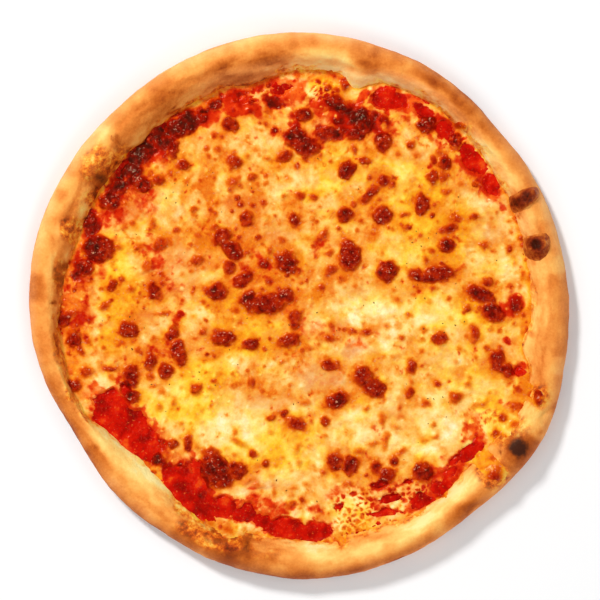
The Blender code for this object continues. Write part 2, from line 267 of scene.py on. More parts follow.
cheeseMarks = {
    # dark, raised blisters
    "scorched": {
        1.0: ((-67, 101, 20, 13, 25), (-90, 84, 15, 10, 40), (-95, 74, 12, 11), (-88, 67, 12, 8, 20),
            (-92, 70, 10, 8), (-79, 91, 8, 7), (2, 88, 14, 10), (1, 106, 9, 8), (33, 102, 11, 16, 25),
            (25, 75, 11, 9), (44, 50, 12, 10), (26, 28, 12, 17), (47, 19, 11, 12), (68, 101, 12, 9),
            (80, 33, 9, 8), (106, -4, 13, 10, -30), (108, -31, 9, 13), (-114, 32, 17, 15),
            (-39, 31, 11, 13, 30), (-48, 8, 13, 10), (-9, 24, 11, 12), (-20, 1, 25, 11, 8),
            (-30, 2.5, 10, 12), (-10, 5, 9, 9, -30), (39.5, -45.5, 12, 10), (-68, -26, 8, 14, 10),
            (-95, -40, 9, 12), (-49, -91, 15, 21, 8), (-37, -92, 11, 9, 10), (-4, -66.5, 10.5, 7, -25),
            (19, -53, 13, 9, 25), (18.5, -87, 8, 10), (27, -89, 9, 10), (47, -95, 9, 9),
            (67, -93, 12, 11)),
        0.95: ((-102, 66, 10, 9, 45), (-107, 58, 11, 10, 20), (-41, 101, 9, 9), (-4, 93, 10, 12),
            (20, 112, 16, 8, -25), (30, 94, 11, 6), (24, 50, 10, 9), (79, 79, 8, 8), (74, 17, 24, 9, 8),
            (99, 6, 16, 8, -20), (-122, 21, 10, 9), (-44, -18, 13, 10), (-97, -13, 10, 9),
            (-94, -50, 8, 7), (-76, -37, 8, 9), (-133, -8, 7, 8), (-127, -19, 9, 11), (-80, -86, 8, 7),
            (40.5, -90, 7, 8)),
        0.9: ((-72, 87, 6, 12), (-83, 94, 12, 8, 45), (63, 17, 8, 7), (113, -36, 8, 7), (76, -19, 8, 8),
            (-33, 15, 13, 8, 25), (15, -33, 12, 6), (-85, -32, 7, 9), (-127, -45, 9, 6),
            (-64.5, -77, 5, 9), (-44, -97, 10, 9), (131, -47.5, 9, 4.5, 15), (135.5, -51, 4, 5)),
        0.85: ((-76, 92, 9, 8), (-9, 83, 10, 6, 20), (20, 102, 6, 5), (45, 91, 10, 10), (45, 69, 6, 6),
            (37, 62, 13, 5, 40), (-5, 47, 6, 8), (72, 71, 8, 7), (66, 56, 8, 12, 10), (60, -35, 6, 8),
            (-118, 46, 7, 12), (-45, 38, 12, 8, 30), (-41, 21, 7, 8), (-29, -22, 9, 8),
            (-4, -8, 7, 12, -15), (-7, -19.5, 13, 8, 12), (34, -39, 11, 11, -30), (-83, 8, 7, 9),
            (-72, -15, 7, 9), (-10.5, -60.5, 3.5, 5)),
        0.8: ((-66, 77, 8, 6), (-57, 105, 9, 7, 30), (-49, 112, 9, 6, 20), (-37, 80, 8, 6),
            (15, 95, 16, 8, 12), (85, 91, 8, 9), (119, 1, 7, 10), (-50, -82, 10, 7),
            (13.5, -64.5, 6, 5, 20), (51, -86.5, 5, 6)),
        0.75: ((-80, 70, 7, 6), (96, -17, 6, 8), (-31, 48, 9, 9), (-21, 23, 7, 5, 20), (-72, -77, 6, 6),
            (-20.5, -87.5, 5, 5)),
        0.72: ((-18, -62.5, 5, 5), (60, -49, 5, 6)),
        0.7: ((80, 42, 10, 5, 20), (-79, 34, 9, 6, 20), (-59, -47, 7, 7), (76, -44.5, 4, 4)),
        0.62: ((85, -51, 7, 7),),
    },
    # small browned bubbles and orange spots
    "rusty": {
        0.72: ((-6, -111, 4, 3),),
        0.7: ((14, 121, 5, 4), (24, 123, 5, 8), (126, -14, 3, 3)),
        0.68: ((111.7, -62, 5, 6), (102, 33, 7, 5), (46, 103, 6, 6)),
        0.65: ((-107, -35, 10, 4), (-120, -37, 9, 6), (28, 86, 4, 5)),
        0.62: ((-106, 10, 6, 6), (-110, -1, 6, 4), (-28, -43, 5, 5), (120, -56, 6, 5), (16, -11, 4.5, 4),
            (15, 29, 4, 4), (35, 80, 7, 5), (6, 60, 4.5, 4.5), (104, 13, 6, 5), (92, -2, 6, 5)),
        0.6: ((-17, 29, 4, 5), (-59, 25, 7, 6), (-83, 45, 4, 8), (-78, 12, 3, 3), (-56, -15, 5, 6),
            (-124, -25, 5, 7), (-48.5, -42.5, 4, 4), (-27, -82.5, 6, 5), (46.5, -75, 4, 9, -10),
            (107.5, -71, 4.5, 4), (10, 10, 4, 5), (15, -19, 8, 4), (17, 20, 8, 5), (60, 18, 6, 5),
            (96, 49, 6, 5), (86, 99, 4, 4), (78, 103, 3, 3), (61, 90, 6, 5), (73, 80, 4, 4),
            (-20, 82, 3.5, 3.5), (-28, 71, 5, 5), (-40, 65, 3, 3), (-35, 67, 3, 3), (-2, 61, 6, 6),
            (130, -52, 6, 9, 20), (94, 7, 5, 4), (123, 17, 3, 6), (-1, -108.5, 4, 4)),
        0.55: ((-48, 43, 5, 4), (-31, 29, 4, 3), (-78, -5, 6, 3), (40, -77, 4, 3.5), (69.5, -55, 4.5, 4),
            (54.5, -57, 3, 5), (4, -24, 5, 3), (35, -14, 6, 4), (11, 39, 9, 4, 45), (20, 42, 5, 4),
            (60, -5, 4, 3), (73, 9, 5, 4), (57, 51, 5, 3), (57, 43, 6, 4), (80, 63, 6, 3), (78, 71, 4, 8),
            (107, -94, 10, 10), (86, 101, 6, 5)),
        0.5: ((-60, 53, 5, 4), (-86, 22, 8, 8), (-103, 33, 4, 4), (-93, 32, 3, 3), (-95, 9, 4, 4),
            (-51, -47, 4, 3.5), (-59, -78, 4, 4), (5, -64, 3, 3), (35, -57, 4, 4), (44.5, -64, 4, 8),
            (61, -42, 3, 6), (55, -18, 4, 4), (67, -19, 4, 4), (68, -13, 4, 3), (68, 25, 4, 5),
            (-10, 61, 3, 3), (-42, -125, 8, 4, -20), (19, -132, 4, 6), (-16, -102, 3, 9, 5),
            (24, -99, 3, 3), (26, -99, 3, 3)),
        0.48: ((56, -82, 9, 4, 25),),
        0.45: ((-80, -57, 4, 4), (-36, -76, 13, 4.5, -28), (31, -81, 8, 4), (-39, 68, 8, 8),
            (118, -66, 6, 5), (121, -59, 5, 6), (98, -55, 10, 4, 20)),
        0.42: ((-79, -48, 4, 4), (-38, -70, 3, 6), (-2, -80, 4, 4), (-2, -87.5, 4, 4.5), (12, -72, 3, 3),
            (12, -92, 6, 4), (53, -67.5, 5, 3), (-25, -100, 8, 4), (-5, -102, 6, 3), (-12, -32, 3, 3)),
        0.4: ((-71, -54, 3, 4), (2, -54, 6, 4), (73, -65.5, 4, 3), (73, -73, 4, 3), (67, -75, 3, 3),
            (92, -44, 4, 3), (98, -84, 5, 4), (-52, -121, 5, 3, -20), (-30, -97, 5, 3)),
    },
    # burnt sauce and cheese, dark red and flat
    "seared": {
        1.0: ((-98, 76, 26, 13, 55), (-89, 86, 22, 13, 48), (-67, 102, 20, 12, 28)),
        0.9: ((-78, 95, 18, 12, 40),),
        0.8: ((-53, 110, 18, 8, 25), (-104, 65, 14, 9, 50), (-36, 118, 22, 8, 15), (-118, 44, 9, 18)),
        0.7: ((-16, 114, 14, 8, -10), (-126, 22, 7, 20), (20, 110, 24, 9, -25), (36, 102, 14, 12),
            (22, 96, 20, 8), (24, 105, 18, 9)),
        0.6: ((5, 95, 34, 10, 5),),
        0.5: ((-108, -52, 8, 10),),
    },
    # sauce stirred into the cheese
    "stained": {
        1.0: ((82, -93, 30, 14, 42),),
        0.95: ((-8, 120, 30, 16, 5), (95, 79, 28, 14, -50)),
        0.9: ((-36, 112, 26, 12, 20), (62, 112, 20, 13, -25), (106, 64, 14, 16), (66, -108, 24, 14, 18)),
        0.85: ((80, 97, 26, 14, -40), (19.5, -111.5, 7, 7)),
        0.8: ((38, 119, 12, 6, 50), (119, -36, 12, 10), (26, -104, 22, 12), (50, -109, 26, 12, 5),
            (94, -72, 14, 18)),
        0.75: ((116, 0, 14, 16), (100, -79, 6, 7)),
        0.7: ((26, 106, 26, 18), (10, 110, 26, 20, -10), (-57, 102, 24, 12, 28), (114, -20, 5, 10),
            (-62, -90, 18, 10, -60), (-95, 90, 14, 10, 45), (-76, 96, 30, 12, 42)),
        0.6: ((-104, 48, 16, 20), (112, 52, 7, 16, 10), (-103, -44, 8, 10), (44, -101, 24, 7, -12),
            (57, -101, 14, 10, 20), (103, -61, 14, 4, 35), (113, -56, 10, 6), (-98, 62, 18, 14, 45),
            (-115, 30, 20, 24), (-118, 45, 10, 14)),
        0.55: ((-22, -112, 34, 13, -12),),
        0.5: ((-4, 100, 28, 16), (0, 96, 34, 18), (-92, 62, 20, 26, 30), (44, 100, 26, 18),
            (-104, -5, 6, 12, 10), (-82, 27, 14, 18), (47, -113, 24, 10)),
        0.45: ((-122, -5, 14, 26, 5), (-30, 20, 26, 26), (-2, -114, 26, 12), (-127, 6, 8, 52)),
        0.4: ((-30, 106, 18, 10), (-70, 15, 18, 28), (-66, -5, 12, 14), (10, 34, 22, 16, 30),
            (8, -12, 18, 14), (-115, -47, 12, 16)),
        0.35: ((-80, 80, 26, 14, 48), (-75, -25, 26, 24)),
        0.3: ((34, -20, 16, 12),),
        0.25: ((-70, -81, 22, 14, -40),),
    },
    # cheese that has run out on to the rim
    "spilt": {
        1.0: ((101, -87, 33, 14, -42), (22, -130, 8, 11), (-48, -122, 36, 8, -24)),
        0.9: ((115, -65, 20, 11, 55), (128, -50, 13, 15, 20)),
        0.8: ((-65, -110, 12, 7, -45), (88, 99, 10, 7, -45)),
        0.7: ((96, 92, 6, 6),),
        0.6: ((126, 20, 6, 22, 5),),
    },
    # bare sauce: the cheese dips under it
    "bare": {
        1.2: ((-98, -68, 45, 21, -43), (-63, -104, 34, 20, -55)),
        1.1: ((-45, -112.5, 18, 11), (-10, -124, 22, 10, -8), (7, -125, 19, 10, 4)),
        1.0: ((94, 81, 20, 9, -50), (105, 67, 12, 9, -60), (-108, -60, 14, 14), (-33, -115, 14, 11)),
        0.9: ((49, 114, 19, 13, -15), (-106, -50, 8, 9), (-98, -47, 6, 8, 10), (-60, -91, 9, 12),
            (-71, -95, 12, 10, -60), (-22, -120, 12, 7, -20), (48, -108.5, 14, 5.5, 8),
            (19.5, -111.5, 4.5, 4.5)),
        0.8: ((66, 108, 14, 7, -30), (121, -37, 6, 5), (42, -100.5, 11, 4), (45, -115.8, 20, 2.6, 3),
            (93, -81, 17, 8, 48), (100, -79, 3.5, 6, 20), (58, -98.5, 6, 4)),
        0.75: ((77, -101, 13, 10), (66, -109, 14, 9, 20)),
        0.7: ((78, 97, 14, 8, -40),),
        0.6: ((-11, 121, 17, 8, 5), (81, -94, 13, 5, 25), (86, -86, 10, 5, 30)),
        0.5: ((-34, 114, 8, 6, 10),),
    },
    # warmer, oilier stretches
    "warmth": {
        1.3: ((129, -50, 14, 16), (0, 28, 26, 22), (-126, 4, 14, 60)),
        1.2: ((22, -129, 9, 12),),
        1.1: ((80, 54, 24, 24),),
        1.0: ((-8, 14, 54, 46), (78, 25, 22, 20), (-26, 104, 24, 16), (-54, -26, 24, 20),
            (-104, 52, 20, 22)),
        0.9: ((103, -90, 28, 14, -42), (-78, 26, 24, 22), (0, 52, 26, 20), (-80, 78, 22, 20),
            (-52, 54, 26, 22)),
        0.8: ((-52, -22, 22, 20), (-78, -26, 24, 22), (-104, 2, 20, 24)),
        0.7: ((80, 45, 18, 24),),
        0.6: ((-15, 40, 70, 50), (-104, 46, 20, 22)),
        0.5: ((-75, 20, 40, 60), (-10, 5, 60, 30), (-90, -15, 50, 50), (-15, -15, 60, 26)),
        0.45: ((55, 55, 50, 60), (-52, 80, 26, 22)),
        0.4: ((85, -80, 24, 14, 30),),
        0.35: ((-20, -45, 50, 20), (90, 55, 40, 50)),
        0.3: ((-50, 55, 90, 50, 10), (5, 75, 40, 16), (20, -45, 60, 40), (-50, -124, 38, 13, -22)),
    },
    "pale": {
        1.1: ((36, 2, 34, 16, -8),),
        1.0: ((-10, -80, 70, 26), (78, -54, 26, 24)),
        0.9: ((-25, -68, 50, 50, -20), (5, -68, 50, 60), (45, -65, 50, 50), (80, -65, 50, 40),
            (52, 27, 26, 18), (38, -27, 50, 16)),
        0.8: ((35, 0, 40, 18, -8), (-10, -104, 60, 14), (-76, 54, 22, 16), (-60, -58, 56, 22, -12)),
        0.7: ((65, -4, 40, 16, -8), (103, 24, 26, 20), (-104, 26, 18, 20)),
        0.6: ((-78, -52, 26, 16, -20), (15, 68, 26, 10, 10), (-15, 104, 18, 8, 5), (54, 78, 24, 14),
            (102, 44, 20, 36, 10)),
        0.5: ((-30, 80, 34, 22, 5), (-70, 53, 26, 20)),
        0.4: ((100, -48, 30, 24),),
        0.3: ((80, -32, 40, 24), (-60, -42, 34, 12)),
    },
    "golden": {
        1.0: ((15, 66, 28, 12, 10), (-64, -58, 34, 24, -10), (-56, -38, 30, 18), (66, 54, 36, 44),
            (100, -88, 30, 16, -42), (22, -129, 10, 12)),
        0.9: ((-14, -80, 40, 28, -10), (84, 40, 26, 30), (62, 30, 40, 16), (-102, 8, 24, 40),
            (105, -66, 24, 24), (12, 122, 24, 16)),
        0.8: ((-84, -58, 16, 16), (-36, -18, 40, 22, -10), (-104, -20, 20, 18), (128, -50, 16, 18),
            (-66, -112, 16, 12, -45)),
        0.7: ((80, -2, 40, 18, -8),),
        0.6: ((22, 82, 30, 14), (45, 5, 36, 12, -8), (98, 34, 16, 22), (-40, 2, 24, 14),
            (27, -116, 30, 22)),
        0.5: ((48, 78, 30, 16),),
        0.4: ((88, -35, 36, 26),),
        0.3: ((103, 24, 26, 20),),
    },
    # pale milk-white cheese, partly painted highlight where the cheese shines white
    "milky": {
        1.0: ((29, -9, 13, 5, -45),),
        0.9: ((10, -88, 6, 4), (75, -97.5, 4, 3)),
        0.8: ((80, -72, 10, 6), (-12, -109, 7, 4, 20), (-4, -116, 5, 6), (2, -115.5, 4, 5),
            (-80.5, -82.5, 4, 4), (118, -42, 4, 4)),
        0.7: ((10, -11, 8, 6), (84, -68, 6, 5), (56, -79, 8, 4, 20), (66, -81, 9, 5), (13, -113, 4, 5),
            (-64, -84, 5, 4)),
        0.6: ((72, -80, 6, 5), (98, -52, 6, 4), (-34, -103, 14, 6, 10), (-113, -50, 8, 8),
            (-117, -58, 5, 5)),
        0.5: ((30, -22, 12, 8), (22, -120, 12, 9, 20), (50, -2, 26, 6, -10)),
        0.4: ((10, -37, 14, 6), (85, -30, 16, 8)),
        0.3: ((-20, -55, 30, 6), (-30, 12, 6, 8)),
    },
    # matt, half clear stretches, partly painted shade, as where the rim's shadow falls on the cheese at the
    # upper left
    "hazy": {
        1.4: ((27, -23, 11, 9),),
        1.2: ((10, -40, 28, 11), (-98, 52, 26, 14, 30)),
        0.9: ((-20, -55, 34, 8),),
        0.8: ((20, -12, 14, 8, 30), (-20, -102, 30, 8)),
        0.7: ((-73, 20, 26, 28), (-32, 56, 20, 12), (50, -57, 14, 8)),
        0.6: ((103, 44, 14, 18), (28, 8, 14, 8), (-88, -8, 14, 14), (78, -30, 18, 8)),
        0.5: ((-15, 40, 30, 20), (-55, -16, 12, 16), (60, 84, 14, 8)),
        0.4: ((85, 66, 12, 14),),
    },
    # stretches that are drawn out into lace over the sauce
    "lacy": {
        1.0: ((28, -113, 24, 24, -20),),
        0.9: ((24, -122, 16, 16), (11, 120, 18, 12)),
        0.8: ((106, -65, 16, 14),),
        0.7: ((84, 92, 16, 14, -45), (-24, 117, 14, 9, 10)),
        0.6: ((52, -108, 22, 14, 10), (64, -101, 16, 12)),
        0.5: ((-54, -86, 12, 12),),
    },
}

crustMarks = {
    "toasted": {
        0.9: ((-112, 70, 12, 10),),
        0.8: ((36, 133, 18, 9, -15), (-135, -12, 7, 16), (54, -142, 12, 4, 20)),
        0.7: ((107, -96, 11, 10), (120, -79, 20, 21), (131, -69, 5, 4), (132, -50, 9, 10),
            (127, -16, 3, 3)),
        0.6: ((-104, 90, 8, 8, 45), (-134, 12, 9, 14)),
        0.5: ((38, 138, 12, 8, -12), (-36, -139, 16, 12, -10), (97, -109, 14, 8, 40),
            (122, 59, 24, 16, 28), (130, 33, 19, 19)),
        0.4: ((-119, 76, 8, 8), (-132, 20, 6, 8), (78, 118, 26, 9, -38), (-34, 136, 52, 6, 8),
            (-119, -84, 18, 9, -55), (-98, -111, 26, 8, -42), (139, -29, 9, 12)),
        0.3: ((-111, 80, 12, 8, 50), (-130, 36, 13, 12), (-70, 118, 26, 8, 32), (20, 141, 34, 8, -8),
            (-138, -20, 10, 22, 8)),
    },
    "charred": {
        1.1: ((119.5, -79, 12, 12.5),),
        0.8: ((-112, 70, 8, 7), (109, -80.5, 3, 2.5)),
        0.7: ((-31, -134, 6, 11, 10), (-138, 2, 4, 3)),
        0.6: ((-35, -137, 8, 4), (-49.5, -125, 4, 2.5), (-105, 92, 3, 3), (-133, 21, 5, 5),
            (54, -142.5, 9, 2.5, 20), (-44, -127, 6, 3, -20), (-38, -129, 4, 3), (-47, -130, 5, 2.5),
            (-29, -128, 4, 5), (-135, 15, 4, 4)),
        0.5: ((-120, 72, 3.5, 3), (-117, 71, 3, 3), (-42.5, -131, 5, 3, 20), (-52, -129, 7, 2.5, -30),
            (-42, -123.5, 3.5, 2), (-103, 87, 3, 4), (-131, 9, 4, 4), (-102, 92, 3, 8, 20)),
        0.45: ((119.5, -79, 20, 21),),
        0.4: ((-55, -123, 6, 2, -45), (-127, 47, 5, 4)),
        0.3: ((-114, 74, 10, 4, 60),),
    },
    # pale places: flour dust, and painted highlights along the crust's ridges and folds
    "flourAndHighlight": {
        1.0: ((74, 110, 9, 5, -40), (10, -134, 16, 4, 2)),
        0.8: ((48, 126, 12, 5, -30), (100, 88, 22, 7, -50), (-109, 95, 12, 4, 50), (-4, 131, 9, 5),
            (-120, 52, 8, 6, 60), (84, -105, 38, 6, 40)),
        0.7: ((58, 120, 18, 4, -28), (60, -128, 24, 7, 25)),
        0.6: ((113, 70, 16, 7, -60), (-114, 97, 9, 3, 30), (30, 128, 5, 9), (-90, -92, 18, 8, -45)),
        0.5: ((22, 133, 7, 11), (-24, 149, 22, 6, 8), (128, -8, 6, 26)),
        0.4: ((119, -44, 5, 16),),
    },
    # cheese and oil baked on to the dough
    "oiled": {
        1.0: ((104, -92, 22, 18, -40), (-48, -128, 46, 14, -18), (-128, 42, 13, 16, 20)),
        0.9: ((-66, -112, 20, 9, -52), (-113, 78, 22, 19, 56)),
        0.8: ((22, -131, 9, 11), (131, -50, 14, 16, 20), (-117, 60, 10, 10), (-105, 78, 28, 9, 52)),
        0.7: ((116, -70, 24, 18, 58),),
        0.6: ((-134, 14, 8, 24), (-134, -26, 7, 24, 10), (-122, -54, 8, 14, 20)),
        0.5: ((92, 97, 14, 8, -45),),
        0.4: ((-20, -137, 30, 6), (-122, 56, 12, 14, 45)),
    },
    "dents": {
        1.0: ((132, -27, 12, 9),),
        0.8: ((101, -96, 14, 6, 40), (134, -62, 8, 5, 60)),
        0.6: ((-118, 88, 16, 5, 50), (60, 128, 14, 7, -30)),
        0.5: ((-96, 106, 22, 4, 45),),
    },
    # long narrow folds in the skin
    "folds": {
        1.0: ((-104, 96, 26, 2.6, 48),),
        0.9: ((44, 124, 14, 3.0, -35), (128, -22, 12, 3.0, 70), (136, -58, 12, 2.4, 35)),
        0.8: ((-88, 110, 20, 2.2, 30), (76, 108, 16, 2.4, -48), (112, -100, 20, 2.4, 42),
            (-22, -131, 14, 2.6, -12), (-126, -56, 14, 2.6, -72), (-128, 52, 14, 2.6, 65)),
        0.7: ((-76, 118, 12, 2.0, -10), (30, 130, 18, 2.2, -20), (98, -110, 16, 2.0, 38),
            (-66, -116, 14, 2.4, -48), (-88, -108, 22, 2.2, -42), (-114, -80, 18, 2.2, -56),
            (-136, 20, 16, 2.2, -82), (-120, 66, 10, 2.4, 30)),
        0.6: ((-60, 124, 24, 2.2, 22), (-20, 133, 26, 2.4, 5), (104, 84, 18, 2.2, -50),
            (118, 66, 8, 2.0, -60), (131, 44, 14, 2.4, -75), (130, 12, 16, 2.2, 85),
            (64, -124, 18, 2.2, 22), (20, -134, 24, 2.4, 5), (-134, -24, 18, 2.4, 80)),
    },
    "bubbles": {
        1.0: ((119.5, -79, 15, 16),),
        0.8: ((132, -50, 11, 11),),
        0.7: ((108, -95, 13, 11, -40),),
        0.6: ((-130, 36, 14, 13), (-40, -134, 26, 12, -10)),
        0.5: ((-113, 77, 17, 14), (10, 139, 26, 12), (139, 10, 12, 26), (-141, -30, 12, 24)),
    },
}

# Lobes round the clock, as in roundShape: how much browner the crust and redder the cheese is along
# the seam between them, and how much rosier the slope above it is painted, as painted warm shade where it
# faces away from the lamps
seamBrown = (
    (130, 30, 0.10), (56, 8, 0.10), (67, 7, -0.12), (87, 7, -0.12), (185, 24, -0.12), (221, 18, -0.20),
    (300, 20, -0.10),
)
seamStain = (
    (130, 36, 0.6), (90, 20, 0.4), (180, 24, 0.3), (350, 24, -0.35), (300, 14, -0.5), (225, 20, -0.3),
)
shadedSlopeTint = ((62, 26, 1.2), (105, 16, 0.9), (20, 14, 0.5))

# How brown the rim is on four rings: where each lies, from the inner edge, 0, to the outer, 1, its
# plain value and its lobes
rimBake = (
    (0.06, 0.28, (
        (40, 6, -0.16), (66, 6, -0.18), (78, 14, -0.20), (88, 6, -0.18), (108, 15, 0.32),
        (132, 12, 0.20), (149, 10, 0.26), (166, 10, 0.08), (184, 14, 0.18), (213, 7, -0.20),
        (226, 11, -0.30), (256, 8, 0.24), (272, 5, -0.22), (290, 7, 0.16), (306, 10, -0.20),
        (330, 12, 0.02), (352, 8, 0.08),
    )),
    (0.36, 0.46, (
        (0, 8, -0.04), (35, 12, -0.06), (51, 5, 0.12), (66, 6, -0.08), (82, 8, -0.22), (106, 14, 0.24),
        (127, 12, 0.12), (152, 7, 0.08), (184, 12, 0.10), (204, 7, 0.10), (213, 6, -0.18),
        (225, 11, -0.34), (252, 9, 0.22), (276, 8, -0.28), (297, 9, -0.30), (312, 6, -0.10),
        (320, 5, 0.10), (328, 8, -0.14), (348, 6, 0.08),
    )),
    (0.66, 0.52, (
        (0, 10, -0.08), (22, 7, 0.08), (33, 6, -0.08), (53, 9, 0.22), (72, 5, -0.04),
        (92, 6, -0.02), (112, 6, -0.06), (140, 9, -0.10), (190, 15, 0.14), (213, 7, 0.14),
        (222, 5, -0.16), (250, 12, 0.18), (261, 5, 0.10), (278, 9, -0.16), (292, 8, -0.16),
        (311, 7, 0.16), (336, 8, -0.12), (352, 10, -0.06),
    )),
    (0.94, 0.48, (
        (5, 10, -0.06), (26, 10, -0.06), (52, 8, 0.20), (95, 14, -0.14), (130, 24, -0.12),
        (160, 8, -0.10), (184, 12, 0.10), (208, 12, 0.20), (221, 5, -0.10), (238, 9, 0.22),
        (262, 12, 0.32), (282, 8, 0.16), (306, 12, 0.12), (334, 9, 0.08), (350, 9, 0.04),
    )),
)

# Working with meshes

def freshStart():
    if bpy.context.mode != "OBJECT":
        bpy.ops.object.mode_set(mode="OBJECT")
    bpy.ops.object.select_all(action="DESELECT")


def readPoints(piece):
    flat = np.empty(len(piece.data.vertices) * 3)
    piece.data.vertices.foreach_get("co", flat)
    return flat.reshape(-1, 3)


def writePoints(piece, points):
    piece.data.vertices.foreach_set("co", points.ravel())
    piece.data.update()


def paintOn(piece, **masks):
    # one number at each vertex for every mask
    for name, values in masks.items():
        layer = piece.data.attributes.new(name, "FLOAT", "POINT")
        layer.data.foreach_set("value", np.asarray(values, np.float32))


def angleOf(x, y):
    return np.degrees(np.arctan2(y, x))


def crustHeight(x, y):
    # the rim's plain upper surface, in mm
    angle, radius = angleOf(x, y), np.hypot(x, y)
    outer, bed, top = outlineAt(angle), bedEdgeAt(angle), rimHeightAt(angle)
    crest = outer - roundShape["crestInset"]
    share = np.clip((crest - radius) / (crest - bed), 0, 1)
    slope = bedLevel + (top - bedLevel) * (1 - share * share) ** roundShape["slopePower"]
    widest = roundShape["widestShare"] * top
    out = np.clip((radius - crest) / roundShape["crestInset"], 0, 1)
    side = widest + (top - widest) * np.sqrt(1 - out * out)
    return np.where(radius > crest, side, slope)


def selectOpenEdge():
    bpy.ops.mesh.select_mode(type="EDGE")
    bpy.ops.mesh.select_all(action="DESELECT")
    bpy.ops.mesh.select_non_manifold(extend=False, use_wire=False, use_multi_face=False,
                                     use_non_contiguous=False, use_verts=False)


def shutMesh():
    # every face turned outwards, and back to plain objects
    bpy.ops.mesh.select_all(action="SELECT")
    bpy.ops.mesh.normals_make_consistent(inside=False)
    bpy.ops.object.mode_set(mode="OBJECT")


def evenDisc(name, reach, splits):
    # a hexagon cut into even triangles and rounded out, so that ring n holds 6n vertices
    freshStart()
    bpy.ops.mesh.primitive_circle_add(vertices=6, radius=1, fill_type="TRIFAN")
    piece = bpy.context.object
    piece.name = piece.data.name = name
    bpy.ops.object.mode_set(mode="EDIT")
    bpy.ops.mesh.select_all(action="SELECT")
    for cuts in splits:
        bpy.ops.mesh.subdivide(number_cuts=cuts - 1)
    bpy.ops.object.mode_set(mode="OBJECT")
    points = readPoints(piece)
    x, y = points[:, 0], points[:, 1]
    turned = np.radians(60 * np.floor((angleOf(x, y) - 90) / 60) + 90)
    ahead = x * np.cos(turned) + y * np.sin(turned)
    aside = y * np.cos(turned) - x * np.sin(turned)
    second = aside / math.sin(math.radians(60))
    share = ahead + second * 0.5
    angle = np.degrees(turned) + 60 * np.where(share > 0, second / np.maximum(share, 1e-9), 0)
    points[:, 0], points[:, 1] = placeAt(share * reach(angle), angle)
    points[:, 2] = 0
    return piece, points


def closeBelow(piece, low):
    # the disc's open edge is drawn straight down to a flat underside at that height, which is shut
    bpy.ops.object.mode_set(mode="EDIT")
    selectOpenEdge()
    bpy.ops.mesh.extrude_edges_move(TRANSFORM_OT_translate={"value": (0, 0, 0)})
    bpy.ops.transform.resize(value=(1, 1, 0), center_override=(0, 0, low * mm))
    bpy.ops.mesh.edge_face_add()
    shutMesh()


def settle(piece, finish, node):
    # moves a piece from the round's own middle to its place, finishes it and hands it to the frame
    piece.data.materials.append(finish)
    piece.data.transform(toMiddle)
    piece.data.update()
    freshStart()
    piece.select_set(True)
    bpy.context.view_layer.objects.active = piece
    bpy.ops.object.shade_smooth()
    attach(piece, "root")
    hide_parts(node)
    return piece


# Shader maths

def paint(*colour):
    # red, green and blue as the eye reads them, 0 to 255, turned into Blender's linear numbers
    shares = [part / 255 for part in colour]
    linear = [((share + 0.055) / 1.055) ** 2.4 if share > 0.04 else share / 12.92 for share in shares]
    return (*linear, 1.0)


class Wire:
    # a socket in a material that adds Math nodes as it is reckoned with

    def __init__(self, tree, socket=None):
        self.tree = tree
        self.socket = socket

    def node(self, kind, settings, sockets, out=0):
        made = self.tree.nodes.new(kind)
        for name, value in settings.items():
            if name == "stops":
                ramp = made.color_ramp
                while len(ramp.elements) < len(value):
                    ramp.elements.new(1.0)
                for element, (place, *colour) in zip(ramp.elements, value):
                    element.position = place
                    element.color = paint(*colour)
            else:
                setattr(made, name, value)
        for name, value in sockets.items():
            if isinstance(value, Wire):
                self.tree.links.new(value.socket, made.inputs[name])
            else:
                made.inputs[name].default_value = value
        return Wire(self.tree, made.outputs[out])

    def reckon(self, operation, first, second):
        return self.node("ShaderNodeMath", {"operation": operation}, {0: first, 1: second})

    def __add__(self, other):
        return self.reckon("ADD", self, other)

    def __radd__(self, other):
        return self.reckon("ADD", other, self)

    def __sub__(self, other):
        return self.reckon("SUBTRACT", self, other)

    def __rsub__(self, other):
        return self.reckon("SUBTRACT", other, self)

    def __mul__(self, other):
        return self.reckon("MULTIPLY", self, other)

    def __rmul__(self, other):
        return self.reckon("MULTIPLY", other, self)

    def mask(self, name):
        # a mask painted on the piece
        return self.node("ShaderNodeAttribute", {"attribute_name": name}, {}, out=2)

    def noise(self, size, detail=3.0, rough=0.5):
        # even noise from 0 to 1 with lumps of that size in mm
        place = self.node("ShaderNodeTexCoord", {}, {}, out=3)
        sockets = {"Vector": place, "Scale": 1 / (size * mm), "Detail": detail, "Roughness": rough}
        return self.node("ShaderNodeTexNoise", {}, sockets)

    def bubbles(self, size):
        # rounded bumps from 0 to 1, that size apart in mm
        place = self.node("ShaderNodeTexCoord", {}, {}, out=3)
        away = self.node("ShaderNodeTexVoronoi", {}, {"Vector": place, "Scale": 1 / (size * mm)})
        return 1 - away * away

    def step(self, low, high):
        # 0 below low, 1 above high and smooth between
        settings = {"interpolation_type": "SMOOTHSTEP"}
        return self.node("ShaderNodeMapRange", settings, {"Value": self, "From Min": low, "From Max": high})

    def ramp(self, *stops):
        # colours along the wire's value: each stop is its place, then red, green and blue as for paint
        return self.node("ShaderNodeValToRGB", {"stops": stops}, {"Fac": self})

    def mix(self, amount, under, over):
        sockets = {0: amount, 6: under, 7: over}
        return self.node("ShaderNodeMix", {"data_type": "RGBA"}, sockets, out=2)


def startFinish(name, settings):
    # a new material with its shader's plain sockets set, and the wire that its pattern starts from
    material = bpy.data.materials.new(name)
    material.use_nodes = True
    shader = material.node_tree.nodes["Principled BSDF"]
    for socket, value in settings.items():
        shader.inputs[socket].default_value = value
    return material, shader, Wire(material.node_tree)


def plug(shader, **wires):
    for name, wire in wires.items():
        wire.tree.links.new(wire.socket, shader.inputs[name.replace("_", " ")])


def addBump(shader, height, depth):
    # depth in mm for a height from 0 to 1
    wire = height.node("ShaderNodeBump", {}, {"Strength": 1.0, "Distance": depth * mm, "Height": height})
    wire.tree.links.new(wire.socket, shader.inputs["Normal"])


# The baked dough

